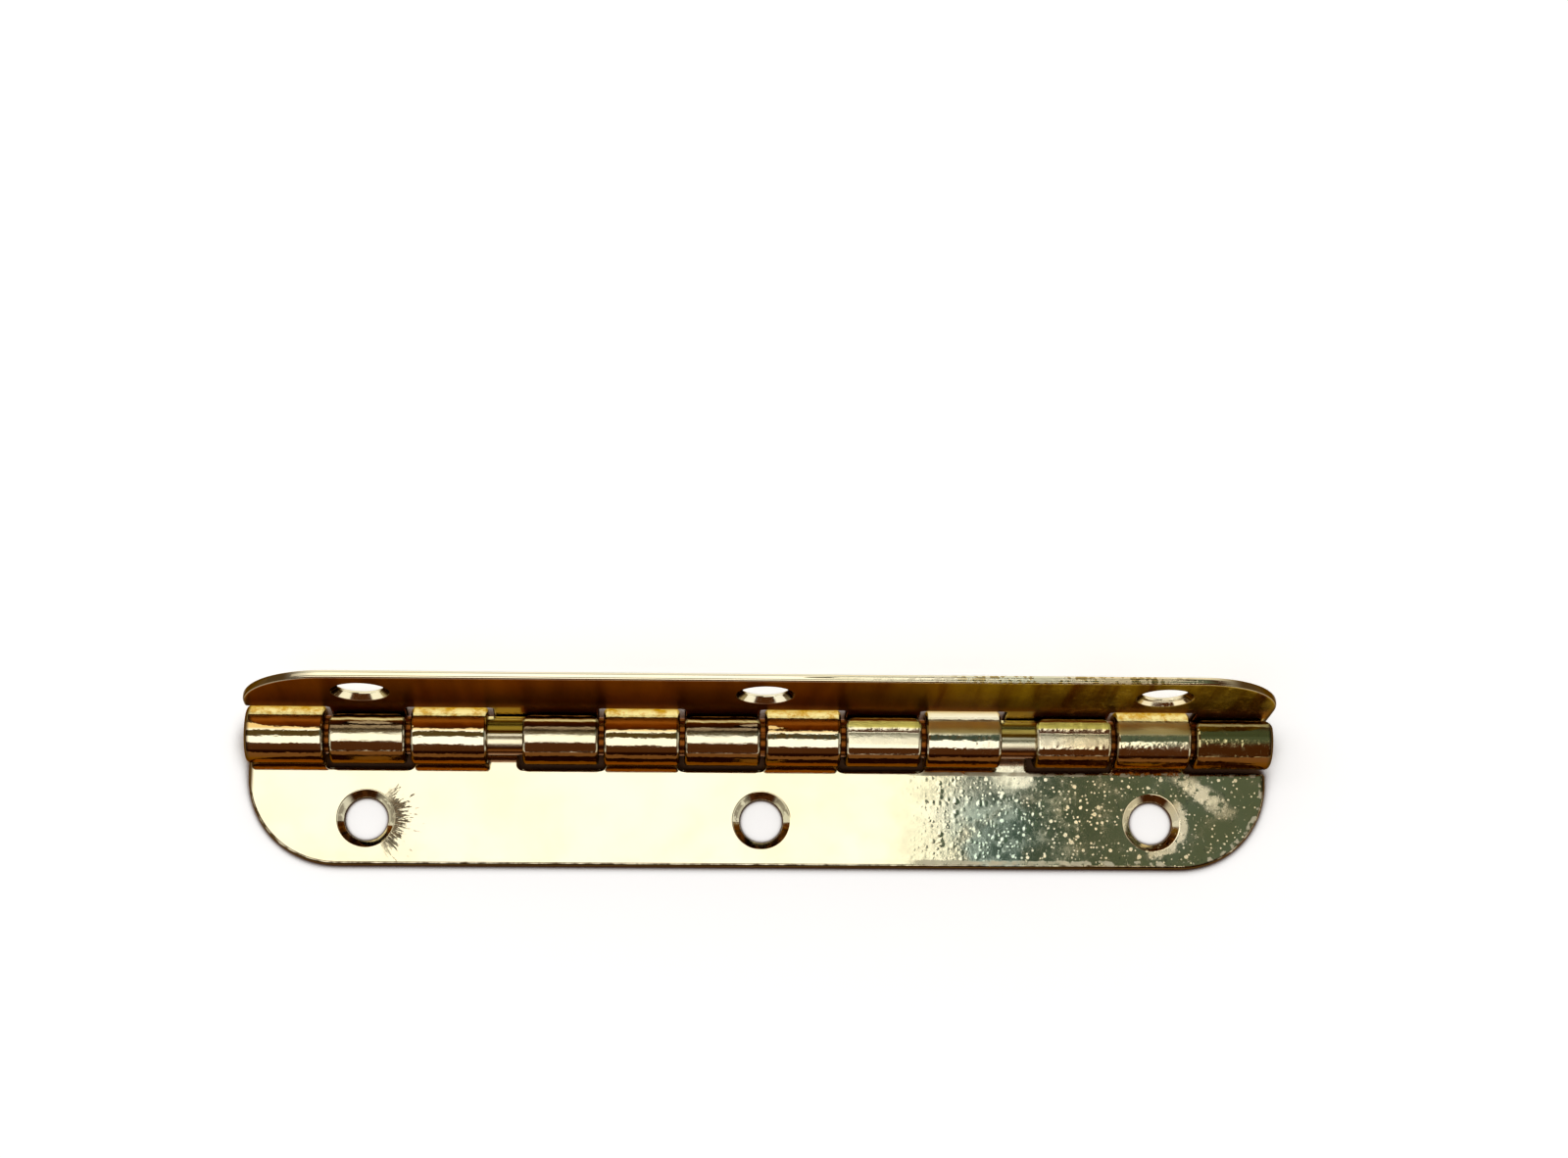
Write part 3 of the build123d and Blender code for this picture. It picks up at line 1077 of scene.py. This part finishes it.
# Surroundings: dark and warm in front and overhead, pale behind and at the sides.
# The changes are given by the parts of a direction of length 1.
FRONT_DARK = (0.070, 0.022, 0.006, 1)
TOP_WARM = (0.085, 0.052, 0.014, 1)
TOP_DARK = (0.046, 0.068, 0.056, 1)
TOP_GREEN = (0.088, 0.118, 0.088, 1)
PALE = (0.85, 0.85, 0.83, 1)
WARM_TO_DARK = (0.03, 0.11)  # to the right
DARK_TO_GREEN = (0.135, 0.18)  # to the right
FRONT_TO_TOP = (0.75, 0.95)  # up
PALE_BELOW = (0.8, 0.5)  # up
PALE_BEHIND = (0.1, 0.4)  # to the back
PALE_BESIDE = (0.45, 0.75)  # to either side


def add_world():
    """The surroundings, which the metal mirrors."""
    world = bpy.data.worlds.new("studio")
    bpy.context.scene.world = world
    world.use_nodes = True
    tree = Nodes(world.node_tree)
    way = tree.add("SeparateXYZ", tree.add("TexCoord").outputs["Generated"]).outputs
    top = tree.mix(tree.ramp(way["X"], *WARM_TO_DARK), TOP_WARM, TOP_DARK)
    top = tree.mix(tree.ramp(way["X"], *DARK_TO_GREEN), top, TOP_GREEN)
    dark = tree.mix(tree.ramp(way["Z"], *FRONT_TO_TOP), FRONT_DARK, top)
    behind = tree.ramp(way["Y"], *PALE_BEHIND)
    beside = tree.ramp(tree.math("ABSOLUTE", way["X"]), *PALE_BESIDE)
    pale = tree.product(tree.ramp(way["Z"], *PALE_BELOW), tree.largest(behind, beside))
    tree.feed(world.node_tree.nodes["Background"].inputs["Color"], tree.mix(pale, dark, PALE))


add_world()

# Soft lights overhead, in metres: their height, and two corners of each
BOX_HEIGHT = 0.6
BOX_RADIANCE = 1.3
BACK_BOX = ((-0.80, 0.07), (0.079, 0.50))
FRONT_BOX = ((-0.60, -0.62), (0.150, -0.172))


def softbox(name, low, high):
    """A rectangular soft light that faces down, between two corners."""
    light = bpy.data.lights.new(name, "AREA")
    light.shape = "RECTANGLE"
    light.size = high[0] - low[0]
    light.size_y = high[1] - low[1]
    light.energy = BOX_RADIANCE * light.size * light.size_y * radians(180)
    lamp = bpy.data.objects.new(name, light)
    lamp.location = ((low[0] + high[0]) / 2, (low[1] + high[1]) / 2, BOX_HEIGHT)
    bpy.context.scene.collection.objects.link(lamp)


softbox("back_box", *BACK_BOX)
softbox("front_box", *FRONT_BOX)
bpy.context.scene.view_settings.view_transform = "Standard"
